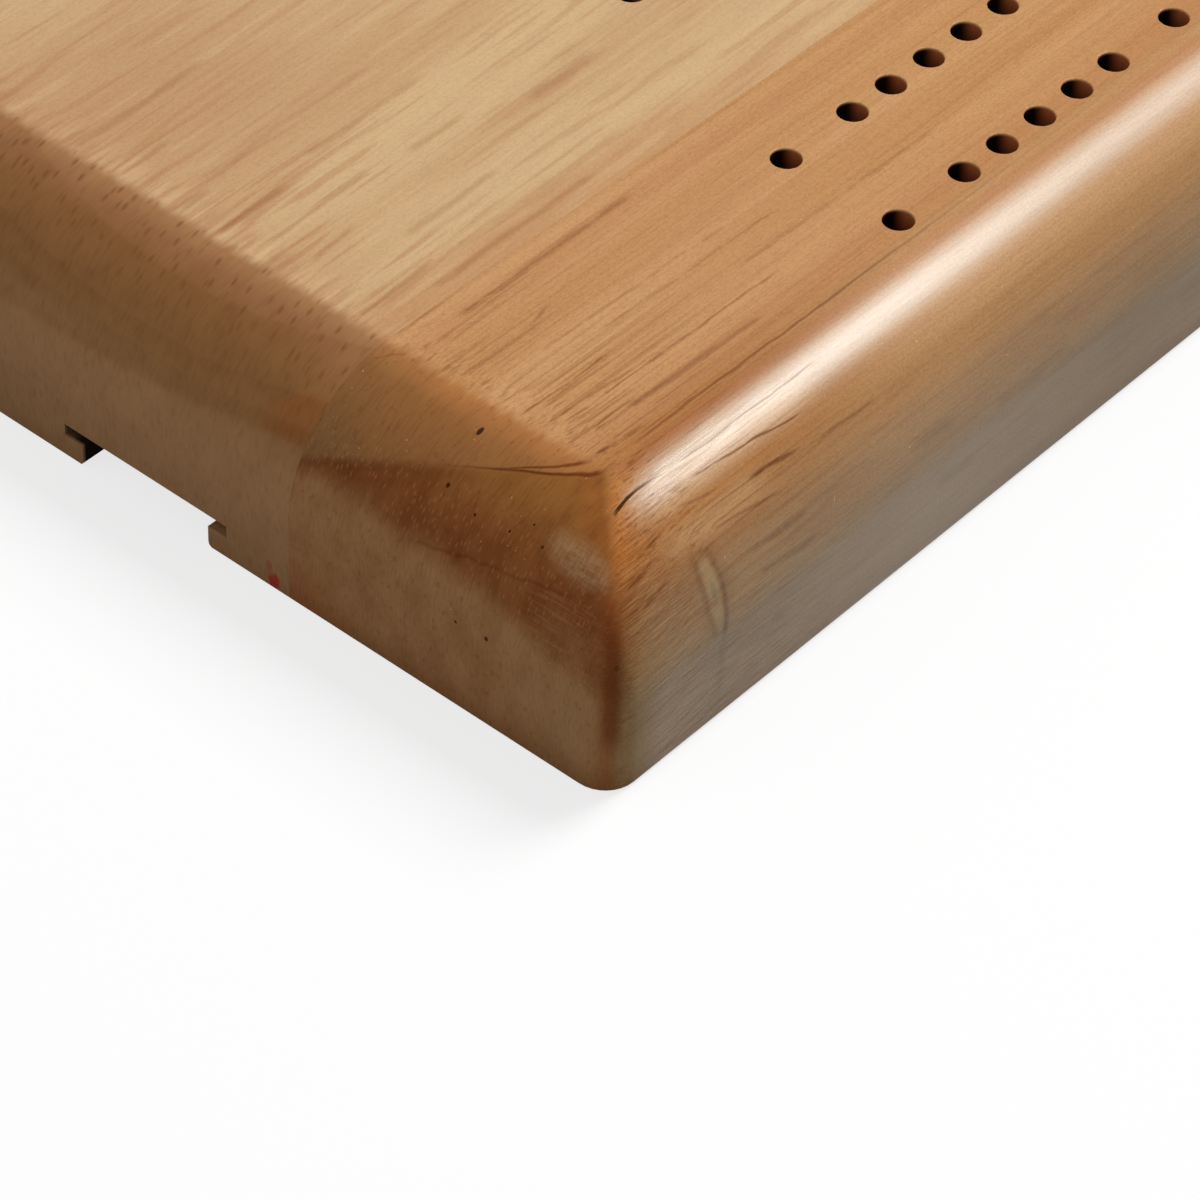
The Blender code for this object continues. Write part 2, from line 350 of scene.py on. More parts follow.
def rgb(red, green, blue):
    """A colour as a picture's 0 to 255 values give it, in the linear light that shaders take."""
    shares = [value / 255 for value in (red, green, blue)]
    return (*[s / 12.92 if s < 0.04045 else ((s + 0.055) / 1.055) ** 2.4 for s in shares], 1)


MM = 1000


def wood_place(start):
    """Millimetres from the block's near bottom corner: along, across and up."""
    place = start.node("ShaderNodeTexCoord", {}, {}, output="Object")
    return place.scaled((MM, MM, MM), tuple(-MM * low for low in BLOCK_LOW))


near_stave = plain_stave("near_stave_wood", BLOCK_LOW.y - OVERRUN, GLUE_Y - GLUE_GAP / 2)
outer_y = BLOCK_HIGH.y - OUTER_ROW_INSET
inner_y = outer_y - ROW_SPACING
carve(near_stave, drills("near_drills", [(y, track_places()) for y in (-outer_y, -inner_y)]))
smooth(near_stave)

TOP_MM = BLOCK_HIGH.z * MM
ROUND_MM = ROUND_OVER * MM
SHOULDER_MM = TOP_MM - ROUND_MM
END_MIDDLE_MM = (BLOCK_HIGH.x - BLOCK_LOW.x) / 2 * MM
SIDE_MIDDLE_MM = (BLOCK_HIGH.y - BLOCK_LOW.y) / 2 * MM
ROUND_DEPTH_MM = 25
END_COAT = 0.085
SIDE_TONES = (
    (0.00, rgb(169, 139, 97)),
    (0.42, rgb(170, 139, 97)),
    (0.56, rgb(170, 135, 92)),
    (0.70, rgb(164, 126, 84)),
    (0.82, rgb(173, 125, 80)),
    (0.89, rgb(174, 118, 64)),
    (1.00, rgb(176, 119, 66)),
)
END_TONES = (
    (0.00, rgb(173, 116, 68)),
    (0.07, rgb(161, 107, 62)),
    (0.13, rgb(144, 96, 54)),
    (0.25, rgb(139, 93, 53)),
    (0.50, rgb(142, 97, 57)),
    (1.00, rgb(146, 102, 62)),
)
RING_FOOT_MM = 10.0
RING_SLOPE = 0.115
RING_CURVE = 0.0068
HEART_TOP_MM = 16.1
HEART_FOOT_MM = 9.4
HEART_SLOPE = 0.185
HEART_CURVE = 0.003
SIDE_FLECKS = (
    (15.0, 3.65, 31.0, 3.80, 0.07, 0.45),
    (14.8, 5.00, 27.0, 6.10, 0.09, 0.80),
    (7.5, 7.45, 10.8, 6.85, 0.10, 0.80),
    (12.2, 6.20, 16.8, 6.90, 0.12, 0.45),
    (18.8, 7.70, 24.8, 8.05, 0.16, 0.75),
    (26.0, 8.60, 33.0, 8.40, 0.14, 0.45),
    (13.8, 8.95, 22.1, 9.90, 0.12, 0.45),
    (5.2, 10.60, 8.9, 9.60, 0.12, 0.60),
    (4.4, 12.90, 8.2, 12.50, 0.11, 0.45),
    (9.4, 5.15, 13.6, 4.75, 0.07, 0.50),
    (10.6, 4.35, 14.4, 4.45, 0.06, 0.45),
    (6.8, 6.35, 9.4, 5.95, 0.07, 0.50),
    (4.6, 8.60, 8.6, 8.10, 0.09, 0.45),
    (3.4, 11.60, 6.6, 11.10, 0.10, 0.45),
    (16.0, 12.00, 22.8, 12.30, 0.24, 0.50),
    (16.4, 14.10, 23.6, 14.60, 0.27, 0.55),
    (13.6, 14.90, 16.2, 15.10, 0.20, 0.35),
    (17.7, 18.90, 19.6, 19.10, 0.38, 0.50),
    (15.5, 22.30, 17.2, 22.30, 0.25, 0.35),
    (34.0, 13.40, 40.0, 13.80, 0.45, 0.35),
    (44.0, 15.50, 51.0, 15.90, 0.50, 0.30),
    (37.0, 18.80, 42.5, 18.90, 0.55, 0.30),
)
TOP_FLECKS = (
    (16.0, 29.05, 36.0, 29.35, 0.26, 0.55),
    (10.5, 18.45, 21.0, 18.40, 0.10, 0.70),
    (12.0, 15.75, 37.0, 15.55, 0.12, 0.65),
    (10.5, 16.55, 23.0, 15.95, 0.10, 0.60),
    (16.5, 13.45, 32.0, 13.00, 0.24, 0.55),
    (10.5, 14.05, 18.5, 13.80, 0.12, 0.65),
    (10.0, 11.90, 17.0, 11.30, 0.18, 0.65),
    (22.0, 20.50, 42.0, 20.20, 0.14, 0.40),
    (17.0, 22.15, 38.0, 21.80, 0.16, 0.40),
    (10.5, 25.90, 16.5, 26.05, 0.14, 0.40),
    (18.5, 24.60, 22.0, 25.30, 0.16, 0.55),
    (34.0, 17.90, 58.0, 17.60, 0.20, 0.35),
)
END_FLECKS = (
    (4.6, 9.70, 12.6, 11.00, 0.13, 0.50),
    (11.8, 10.80, 20.5, 12.60, 0.15, 0.50),
    (28.6, 0.20, 31.4, 3.20, 0.14, 0.55),
)
PITS = (
    (19.8, 3.10, 0.17, 0.34),
    (19.2, 7.70, 0.15, 0.20),
    (13.0, 8.20, 0.10, 0.12),
    (11.6, 6.90, 0.09, 0.10),
    (16.1, 8.50, 0.10, 0.11),
    (10.1, 7.95, 0.10, 0.11),
    (11.9, 16.50, 0.15, 0.17),
    (14.8, 16.70, 0.11, 0.12),
    (1.1, 13.00, 0.14, 0.22),
)
KNOT_MM = (11.80, 12.7)
KNOT_HALF_MM = (0.92, 5.2)
HAZE_MM = (7.0, 7.4)
HAZE_HALF_MM = (3.3, 1.6)
HAZE_SLOPE = 0.12
STAIN_MIDDLE_MM = (11.2, 3.40)
STAIN_BEND = 0.047


def glossy_wood(start, colour, coat, relief):
    """Wood under satin varnish. The varnish alone shines, less where the grain drank it."""
    bump = start.node(
        "ShaderNodeBump", {}, {"Strength": 0.35, "Distance": 0.00006, "Height": relief}
    )
    surface = start.node(
        "ShaderNodeBsdfPrincipled",
        {},
        {
            "Base Color": colour,
            "Roughness": 0.6,
            "Specular IOR Level": 0.0,
            "Coat Weight": coat,
            "Coat Roughness": 0.28,
            "Normal": bump,
        },
    )
    start.node("ShaderNodeOutputMaterial", {}, {"Surface": surface})


def hole_colour(facing, lit, dark):
    """The wall of a drilled hole, browner on the side that the light falls on."""
    side_x, side_y, _ = facing.axes()
    return (side_y * 0.78 - side_x * 0.63).rise(-0.35, 0.6).mixed(dark, lit)


def edge_gaps(along, across):
    """How far inward a point lies from the nearer end, and from the nearer side."""
    end_gap = END_MIDDLE_MM - (along - END_MIDDLE_MM).size()
    side_gap = SIDE_MIDDLE_MM - (across - SIDE_MIDDLE_MM).size()
    return end_gap, side_gap


def way_down(gap, up):
    """Millimetres down the rounded edge from the flat top, for a point this far inward."""
    outward = ROUND_MM - gap
    return outward.math("ARCTAN2", outward, up - SHOULDER_MM) * ROUND_MM


def end_share(facing, end_gap, side_gap, end_down, ragged):
    """How much a point lies on end grain: beyond the mitre and below the tangent."""
    beyond = (side_gap - end_gap + 0.3 + ragged * 2.5).rise(-1.0, 0.8)
    not_under = facing.axes()[2].rise(-0.9, -0.5)
    return beyond * (end_down + ragged * 3.5).rise(-0.15, 1.3) * not_under


def fleck(along, down, wobble, line):
    """How much a point lies on a short streak of the grain. It tapers at both ends."""
    start_x, start_down, end_x, end_down, half, strength = line
    slope = (end_down - start_down) / (end_x - start_x)
    off = down - start_down - (along - start_x) * slope + wobble
    ends = along.rise(start_x - 0.2, start_x + 1.2) * along.rise(end_x + 0.2, end_x - 1.8)
    return off.near(0, half * 1.7, half * 0.2) * ends * strength


def ellipse(x, y, middle, half):
    """0 in the middle of an ellipse and 1 on its outline."""
    return ((x - middle[0]) / half[0]) ** 2 + ((y - middle[1]) / half[1]) ** 2


def grain_cells(start, sideways, down):
    """Cells of the end grain: the place on them, the way from a cell's middle, and its number."""
    cells = start.node("ShaderNodeCombineXYZ", {}, {0: sideways, 1: down, 2: 0.0})
    settings = {"voronoi_dimensions": "2D"}
    off_middle = cells.node("ShaderNodeTexVoronoi", settings, {"Vector": cells, "Scale": 1.0})
    return cells, off_middle, off_middle.other("Color").axes()[0]


material, start = new_material("near_stave_varnished")
place = wood_place(start)
along, across, up = place.axes()
facing = start.node("ShaderNodeTexCoord", {}, {}, output="Normal")
end_gap, side_gap = edge_gaps(along, across)
side_down, end_down = way_down(side_gap, up), way_down(end_gap, up)
under = facing.axes()[2].rise(-0.5, -0.9)
mitre = (end_gap - side_gap).size() + under * 20
ragged = (place.noise((0.35, 2.4, 0.6), detail=2) - 0.5) * 0.5
endwise = end_share(facing, end_gap, side_gap, end_down, ragged)
this_end = endwise * along.rise(130, 128)
sidewise = 1 - endwise
wander = place.noise((0.22, 0.8, 0.8), detail=2) - 0.5
away = across - RING_FOOT_MM
ring = up - TOP_MM + away * RING_SLOPE + away * away * RING_CURVE
ring = ring + wander * (along.rise(10, 15) * 0.22 + 0.10)

# The planed top and the rounded side. The grain dips towards the near end.
bend = along.rise(15, 3) * 2.0
bent = start.node("ShaderNodeCombineXYZ", {}, {0: along, 1: across, 2: up + bend})
broad = place.noise((0.012, 0.22, 0.22), detail=2)
flat_wood = broad.rise(0.35, 0.65).mixed(rgb(190, 139, 89), rgb(200, 151, 102))
darker_bands = across.rise(16.5, 12.5) * 0.55 + across.near(28.8, 1.8, 0.4) * 0.40
flat_wood = darker_bands.mixed(flat_wood, rgb(179, 122, 75))
side_wood = start.node("ShaderNodeValToRGB", {"stops": SIDE_TONES}, {0: up / TOP_MM})
side_wood = (along.rise(12, 48) * up.rise(10, 16) * 0.55).mixed(side_wood, rgb(186, 145, 98))
# Painted highlight tint: the wood is yellower under the lamp's highlight band, to warm the
# highlight.
highlight_band_tint = side_down.near(3.8, 2.4, 0.4) * along.rise(7, 15) * along.rise(110, 60)
side_wood = highlight_band_tint.mixed(side_wood, rgb(174, 136, 86))
# Painted highlight: paler wood round the lamp's highlight band further along the side, widening and
# softening it.
painted_highlight_fringe = side_down.near(4.2, 4.6, 2.6) - side_down.near(3.8, 1.6, 0.8) * 0.9
side_wood = (painted_highlight_fringe * along.rise(26, 46) * 0.55).mixed(side_wood, rgb(205, 160, 116))
# Painted highlight: paler wood below the lamp's highlight near the corner, spreading it further
# down the round.
painted_highlight_spread = (side_down + (along - 14) * 0.02).near(5.2, 1.7, 0.5) * along.near(19, 12, 6)
painted_highlight_spread = painted_highlight_spread + side_down.near(8.2, 1.6, 0.4) * along.near(15, 7, 3) * 0.8
side_wood = (painted_highlight_spread * 0.48).mixed(side_wood, rgb(214, 172, 124))
clouds = place.noise((0.09, 0.3, 0.38), detail=3, shift=(6, 2, 6)).rise(0.35, 0.68)
side_wood = (clouds * side_down.rise(7, 11) * 0.5).toned(side_wood, (0.84, 0.80, 0.78))
on_top = up.rise(18.55, 18.79) * across.rise(10.9, 11.9)
colour = (on_top + under).mixed(side_wood, flat_wood)

# Fibres and vessel lines along the grain, and grit at the corner.
fibres = bent.noise((0.05, 6, 6), detail=2, roughness=0.6)
lines = bent.noise((0.045, 1.9, 1.9), detail=2, roughness=0.6, shift=(4, 8, 2)).rise(0.50, 0.68)
fine_lines = bent.noise((0.10, 4.2, 4.2), detail=2, shift=(1, 2, 8)).rise(0.52, 0.68)
dashes = place.noise((0.14, 1.3, 1.3), detail=1, shift=(3, 9, 5)).rise(0.56, 0.72)
glints = place.noise((0.28, 7, 7), detail=2, roughness=0.7, shift=(5, 1, 3)).rise(0.3, 0.7)
grain = place.noise((3.5, 7, 7), detail=1, shift=(2, 6, 4))
close_in = (along + across * 0.4).rise(38, 12)
near_end = along.rise(34, 13)
corner_grit = (along + across * 0.3).rise(16, 6) * up.rise(18.8, 18.0) * side_down.rise(17, 10)
marks = fibres.rise(0.4, 0.75) * sidewise * 0.34
colour = marks.toned(colour, (0.74, 0.64, 0.54))
marks = lines * (near_end * 0.40 + 0.20) * (on_top * 0.45 + 0.55) * sidewise
colour = marks.toned(colour, (0.62, 0.52, 0.44))
marks = fine_lines * near_end * (across.rise(26, 12) * 0.45 + 0.20)
marks = marks * side_down.rise(12, 8) * sidewise
colour = marks.toned(colour, (0.55, 0.43, 0.34))
marks = dashes * side_down.rise(7, 11) * sidewise * 0.30
colour = marks.toned(colour, (0.76, 0.66, 0.66))
marks = (1 - glints) * corner_grit * sidewise * 0.65
colour = marks.toned(colour, (0.66, 0.46, 0.32))
marks = grain.rise(0.42, 0.70) * 0.45
colour = marks.toned(colour, (0.76, 0.68, 0.62))
colour = (grain.rise(0.45, 0.25) * 0.30).toned(colour, (1.16, 1.14, 1.10))

# Single dark streaks, and the amber line along the shoulder.
breaks = place.noise((0.5, 0.8, 0.8), detail=2, shift=(7, 3, 1)).rise(0.30, 0.52) * 0.75 + 0.25
streak_tone = side_down.rise(10, 13).mixed((0.38, 0.23, 0.15, 1), (0.55, 0.45, 0.42, 1))
marks = 0
for line in SIDE_FLECKS:
    marks = marks + fleck(along, side_down, wander * 0.8, line)
marks = marks * (breaks * 0.6 + 0.4) * sidewise
colour = marks.mixed(colour, streak_tone, "MULTIPLY")
marks = 0
for line in TOP_FLECKS:
    marks = marks + fleck(along, across, wander * 0.6, line)
marks = marks * breaks * sidewise * up.rise(18.6, 18.75)
colour = marks.toned(colour, (0.52, 0.38, 0.28))
amber = (side_down + wander * 0.5).near(1.55, 1.1, 0.3) * sidewise * along.rise(9.5, 13)
colour = (amber * 0.62).toned(colour, (0.82, 0.62, 0.44))
shoulder_line = (side_down + wander * 0.5).near(0.35, 0.22, 0.03)
shoulder_line = shoulder_line * along.rise(13, 16) * along.rise(60, 34)
colour = (shoulder_line * sidewise * 0.75).toned(colour, (0.50, 0.34, 0.24))

# The end grain: red heartwood below the growth ring, tan wood above it.
heart_wobble = (place.noise((0.2, 0.3, 0.3)) - 0.5) * 1.6
heart = up - HEART_FOOT_MM - across * HEART_SLOPE + across * across * HEART_CURVE + heart_wobble
heart = (heart - across.rise(6, 12) * 0.7).rise(-1.4, 1.1)
heart = heart * (up + heart_wobble * 0.5).rise(HEART_TOP_MM + 0.9, HEART_TOP_MM - 0.9)
sapwood = (ring / (across.rise(14, 26) * 0.55 + 0.12)).rise(-1.0, 0.5)
mottle = place.noise((0.3, 0.45, 0.25), detail=3).rise(0.3, 0.7)
end_wood = mottle.mixed(rgb(149, 105, 65), rgb(161, 118, 78))
end_wood = (across.rise(14, 2) * 0.5).mixed(end_wood, rgb(160, 126, 86))
# Painted shade: the end is darker towards its foot.
end_wood = (end_down.rise(20.5, 24.5) * 0.6).mixed(end_wood, rgb(136, 92, 52))
tan_wood = mottle.mixed(rgb(128, 79, 37), rgb(140, 91, 45))
end_wood = up.rise(14.5, 16.0).mixed(end_wood, tan_wood)
heart_wood = mottle.mixed(rgb(121, 68, 30), rgb(136, 82, 41))
heart = heart * (1 - across.rise(10, 4) * end_down.rise(10.5, 12.5) * 0.35)
end_wood = heart.mixed(end_wood, heart_wood)
outer_wood = start.node("ShaderNodeValToRGB", {"stops": END_TONES}, {0: end_down / ROUND_DEPTH_MM})
outer_wood = (mottle * 0.5).toned(outer_wood, (1.12, 1.12, 1.12))
outer_wood = (across.rise(24, 30.5) * 0.8).toned(outer_wood, (0.84, 0.92, 0.98))
end_wood = sapwood.mixed(end_wood, outer_wood)
seam_glow = across.rise(22, 31) * up.rise(8, 1)
end_wood = (seam_glow * 0.6).mixed(end_wood, rgb(148, 90, 48))
colour = endwise.mixed(colour, end_wood)

# The growth ring's dark line, double near the corner, and fainter lines.
LINE_TONE = (0.42, 0.26, 0.16)
thickness = across.rise(14, 22)
near_part = ring.near(0, 0.075, 0.01) * (1 - thickness) * 0.95
far_part = ring.near(-0.30, 0.60, 0.02) * thickness * 0.30
colour = ((near_part + far_part) * endwise).toned(colour, LINE_TONE)
twin = (ring - across.rise(18, 12.5) * 0.20).near(0, 0.055, 0.01) * across.rise(18, 15)
colour = (twin * across.rise(11.0, 12.0) * endwise * 0.85).toned(colour, LINE_TONE)
below_ring = ring.near(-0.9, 0.9, 0.1) * across.rise(16, 22) * endwise
colour = (below_ring * 0.35).toned(colour, (0.74, 0.60, 0.48))
for line in END_FLECKS:
    mark = fleck(across, end_down, wander * 0.6, line) * this_end
    colour = mark.toned(colour, (0.66, 0.50, 0.38))

# Sawn texture, pale rays, polish marks, pores, specks and pits of the end grain.
streaks = place.noise((0.3, 5.0, 1.1), detail=3)
colour = (streaks.rise(0.45, 0.7) * endwise * 0.50).toned(colour, (0.76, 0.68, 0.60))
colour = (streaks.rise(0.45, 0.25) * endwise * 0.30).toned(colour, (1.16, 1.14, 1.12))
sideways = across * 3.1 + wander * 0.5
cells, rays, number = grain_cells(start, sideways, end_down * 1.05)
pale_rays = rays.rise(0.36, 0.04) * number.rise(0.15, 0.85) * endwise
pale_rays = pale_rays * end_down.rise(4, 7) * end_down.rise(16, 14)
colour = (pale_rays * (heart * 0.20 + 0.12)).mixed(colour, rgb(180, 126, 84))
polish = place.noise((0.3, 0.45, 6.5), detail=1, shift=(3, 3, 9)).rise(0.52, 0.68)
polish = polish * across.rise(12, 6) * end_down.rise(9, 11) * end_down.rise(16, 14) * this_end
colour = (polish * 0.26).mixed(colour, rgb(176, 124, 82))
pores = cells.noise((0.7, 1.4, 1), detail=1, shift=(2, 5, 7)).rise(0.60, 0.76) * endwise
colour = (pores * 0.28).mixed(colour, rgb(92, 52, 28))
specks = place.noise((4, 4, 4), detail=1, shift=(8, 8, 8)).rise(0.74, 0.80)
specks = specks * (place.noise((0.3, 0.3, 0.3), shift=(1, 7, 1)).rise(0.45, 0.6))
colour = (specks * 0.55).mixed(colour, rgb(240, 196, 146))
for pit_y, pit_down, half_y, half_down in PITS:
    distance = ellipse(across, end_down, (pit_y, pit_down), (half_y, half_down))
    hollow = (distance + wander * 1.2).rise(1.9, 0.5) * this_end
    colour = (hollow * 0.9).mixed(colour, rgb(38, 20, 11))

# Darker, more orange wood along the mitre, a dark line along it at mid height, and paler wood at
# its top.
reach = up.rise(7, 12) * (2.6 - up.rise(17.0, 18.7) * 2.0) + 1.7
mitre_dark = (mitre / reach + (glints - 0.5) * 0.45).rise(1.0, 0.05) * up.rise(18.80, 18.70)
mitre_dark = mitre_dark * (up.rise(18.2, 14.5) * 0.50 + 0.15) * (up.rise(2, 9) * 0.5 + 0.5)
colour = mitre_dark.toned(colour, (0.62, 0.40, 0.25))
by_mitre = mitre.rise(2.6, 0.2) * (endwise * 0.80 + 0.20)
colour = (by_mitre * up.rise(17, 13) * 0.40).mixed(colour, rgb(152, 94, 50))
upper_mitre = mitre.rise(4.5, 0.8) * up.rise(15.0, 17.0) * up.rise(18.79, 18.4)
colour = (upper_mitre * 0.70).toned(colour, (1.24, 1.16, 1.08))
corner_line = (mitre - glints * 0.7).rise(1.1, -0.1) * up.near(9.8, 6.5, 3.5)
colour = (corner_line * 0.75).toned(colour, (0.58, 0.36, 0.22))

# A painted reflection on the end: a pale hazy spot, broken up by fine scratches.
haze_down = end_down + (across - HAZE_MM[0]) * HAZE_SLOPE
haze_shape = ellipse(across, haze_down, HAZE_MM, HAZE_HALF_MM)
hatch = place.noise((1.2, 6.5, 1.2), detail=2).rise(0.3, 0.75)
cross_hatch = place.noise((1.2, 0.9, 7.5), detail=2).rise(0.35, 0.75)
painted_reflection_haze = haze_shape.rise(1.4, 0.05) * (hatch * 0.6 + cross_hatch * 0.5 + 0.2) * this_end
colour = (painted_reflection_haze * 0.55).mixed(colour, rgb(164, 134, 100))

# A pin knot on the side, with its tail.
knot_s = (side_down - KNOT_MM[1]) / KNOT_HALF_MM[1]
knot_x = (along - KNOT_MM[0] + wander * 0.35) / KNOT_HALF_MM[0]
knot_rows = side_down.rise(9.5, 10.6) * side_down.rise(17.6, 16.2) * sidewise
knot_off = (knot_x.size() - 1 + knot_s * knot_s) * KNOT_HALF_MM[0]
knot_side = (along - KNOT_MM[0]).rise(-0.6, 0.6) * side_down.rise(11, 14) * 0.45 + 0.55
around = knot_off.rise(1.7, 0.1) * side_down.rise(7.5, 10.5) * side_down.rise(19, 15.5) * sidewise
colour = (around * 0.34).toned(colour, (0.70, 0.62, 0.50))
knot_rim = knot_off.near(0.05, 0.50, 0.0) * knot_rows
colour = (knot_rim * knot_side * 0.70).toned(colour, (0.52, 0.42, 0.30))
colour = (knot_off.rise(0.0, -0.6) * knot_rows * breaks * 0.46).mixed(colour, rgb(176, 150, 104))
heart_spot = (knot_x * knot_x * 8 + knot_s * knot_s * 40).rise(1.2, 0.2) * sidewise
colour = (heart_spot * 0.40).mixed(colour, rgb(112, 104, 76))
knot_tail = (along + (side_down - 15) * 0.02).near(12.2, 0.80, 0.05)
knot_tail = knot_tail * side_down.rise(14.5, 17.0) * side_down.rise(25.5, 20) * sidewise
colour = (knot_tail * 0.36).toned(colour, (0.60, 0.54, 0.48))

# A black stain at the corner, painted shade along the foot, and painted light and shade in the
# drilled holes.
stain_x = along - STAIN_MIDDLE_MM[0]
stain_off = side_down - STAIN_MIDDLE_MM[1] - stain_x * stain_x * STAIN_BEND
stain_off = stain_off.size() + stain_x * 0.012
stain = (stain_off + wander * 0.22).rise(0.13, 0.04) * along.rise(7.7, 8.1) * along.rise(15.0, 9.0)
stain = stain * sidewise * (breaks * 0.5 + 0.5)
colour = (stain * 0.95).mixed(colour, rgb(24, 17, 15))

# Painted shade: darker towards the foot, where the board meets the floor.
colour = (up.rise(2.8, 0.2) * 0.50).toned(colour, (0.70, 0.58, 0.48))
in_hole = up.rise(18.75, 18.5) * up.rise(6, 8) * end_gap.rise(12, 13) * across.rise(9.5, 10.5)
colour = in_hole.mixed(colour, hole_colour(facing, rgb(168, 92, 52), rgb(26, 16, 12)))

# The varnish is thin at the corner and where the grain drank it.
gloss = 1 - (1 - glints) * (close_in * 0.42 + 0.12) - along.rise(34, 66) * 0.30
gloss = gloss - fine_lines * near_end * 0.25
gloss = gloss * (1 - mitre.rise(6.6, 0.6) * up.rise(18.79, 18.6))
for line in SIDE_FLECKS[:2]:
    gloss = gloss * (1 - fleck(along, side_down, wander * 0.8, line) * breaks * 0.8)
coat = (gloss * sidewise + endwise * END_COAT) * (1 - stain) * (1 - in_hole)
relief = (fibres + glints * corner_grit) * sidewise + streaks * endwise * 0.6 + grain * 0.3
glossy_wood(start, colour, coat, relief)
near_stave.data.materials.append(material)
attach(near_stave, "board")
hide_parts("near_stave")


# Far stave
# The pale board of the glue-up, with the middle row and two more rows of holes.
# The channel for the lid is cut along its underside from the near end: a mouth with rounded
# lips, a groove in each side wall, and the deeper peg pocket further in.

MOUTH_WIDTH = 0.0132
LIP_THICKNESS = 0.0023
GROOVE_TOP = 0.0034
GROOVE_REACH = 0.0019
POCKET_INSET = 0.0300
POCKET_LENGTH = 0.0800
POCKET_CEILING = 0.0092
POCKET_FILLET = 0.0006
LIP_ROUND = 0.0009
LIP_STEPS = 6
STADIUM_STEPS = 20
LID_SIDE_CLEARANCE = 0.0003
GROUPS_IN_GAME_ROW = 2

lid_low, lid_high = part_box("lid")
POCKET_START_X = BLOCK_LOW.x + POCKET_INSET
POCKET_END_X = POCKET_START_X + POCKET_LENGTH
CHANNEL_END_X = lid_high.x + LID_SIDE_CLEARANCE


def stadium(start_x, end_x, width, grown):
    """An outline with both ends round, grown on all sides."""
    half = width / 2
    first = arc(end_x - half, 0, half + grown, -1, 1, STADIUM_STEPS)
    return first + arc(start_x + half, 0, half + grown, 1, 3, STADIUM_STEPS)


def routed(name, start_x, end_x, sections):
    """A hollow that a router cuts, from pairs of how far the outline is grown and its height."""
    form = bmesh.new()
    rings = []
    for grown, height in sections:
        outline = stadium(start_x, end_x, MOUTH_WIDTH, grown)
        rings.append([form.verts.new((x, y, height)) for x, y in outline])
    bridge(form, rings)
    return finished(form, name)


far_stave = plain_stave("far_stave_wood", GLUE_Y + GLUE_GAP / 2, BLOCK_HIGH.y + OVERRUN)
game_groups = 1 + GROUPS_IN_GAME_ROW * HOLES_IN_GROUP
rows = [(inner_y, track_places()), (outer_y, track_places()), (0, track_places()[1:game_groups])]
lip = arc(LIP_ROUND, LIP_ROUND, LIP_ROUND, 3, 2, LIP_STEPS)
lip_sections = [(LIP_ROUND, -OVERRUN)] + lip
channel_sections = lip_sections + [
    (0, LIP_THICKNESS),
    (GROOVE_REACH, LIP_THICKNESS),
    (GROOVE_REACH, GROOVE_TOP),
]
fillet_height = POCKET_CEILING - POCKET_FILLET
pocket_sections = [
    (0, (LIP_THICKNESS + GROOVE_TOP) / 2),
    (0, fillet_height),
    (-POCKET_FILLET / 3, POCKET_CEILING - POCKET_FILLET / 3),
    (-POCKET_FILLET, POCKET_CEILING),
]
outer_x = BLOCK_LOW.x - MOUTH_WIDTH - OVERRUN
channel = routed("channel", outer_x, CHANNEL_END_X - GROOVE_REACH, channel_sections)
pocket = routed("pocket", POCKET_START_X, POCKET_END_X, pocket_sections)
carve(far_stave, drills("far_drills", rows), channel, pocket)
smooth(far_stave)

GRAIN_DRIFT = 0.03
FAR_END_TONES = (
    (0.00, rgb(168, 124, 86)),
    (0.06, rgb(160, 115, 77)),
    (0.12, rgb(147, 103, 68)),
    (0.20, rgb(140, 97, 60)),
    (0.32, rgb(138, 96, 57)),
    (0.42, rgb(148, 104, 63)),
    (0.53, rgb(160, 120, 82)),
    (0.68, rgb(163, 123, 84)),
    (0.84, rgb(155, 116, 79)),
    (1.00, rgb(152, 113, 77)),
)
ARC_MIDDLE_MM = 48.5
ARC_LINES = (
    (5.00, 0.0105, 1.3, 0.24),
    (9.30, 0.0070, 0.7, 0.26),
    (11.0, 0.0050, 0.7, 0.20),
)
HEART_EDGE_MM = (13.4, 61.0, 0.0030)
PATCH_MM = (32.6, 9.2)
PATCH_HALF_MM = (2.8, 2.4)
FAR_FLECKS = (
    (17.0, 32.70, 36.0, 32.95, 0.26, 0.55),
    (10.5, 34.20, 20.0, 34.85, 0.22, 0.75),
    (20.0, 38.40, 31.5, 38.60, 0.35, 0.50),
    (13.0, 41.20, 19.0, 41.70, 0.24, 0.60),
    (10.5, 45.20, 24.5, 45.50, 0.24, 0.75),
    (27.5, 45.10, 34.5, 45.30, 0.34, 0.60),
    (39.0, 42.80, 47.5, 43.10, 0.55, 0.55),
    (10.5, 48.50, 19.0, 49.00, 0.30, 0.75),
    (22.0, 50.30, 36.0, 50.80, 0.30, 0.50),
    (10.5, 52.60, 14.5, 52.80, 0.34, 0.80),
    (14.0, 54.00, 34.0, 54.60, 0.32, 0.40),
    (10.5, 58.80, 17.0, 59.10, 0.30, 0.60),
    (10.5, 63.60, 26.0, 64.30, 0.36, 0.55),
)
RED_MARKS = (
    (32.7, 23.45, 0.62, 0.66, 0.90),
    (33.2, 22.35, 0.38, 0.48, 0.45),
)

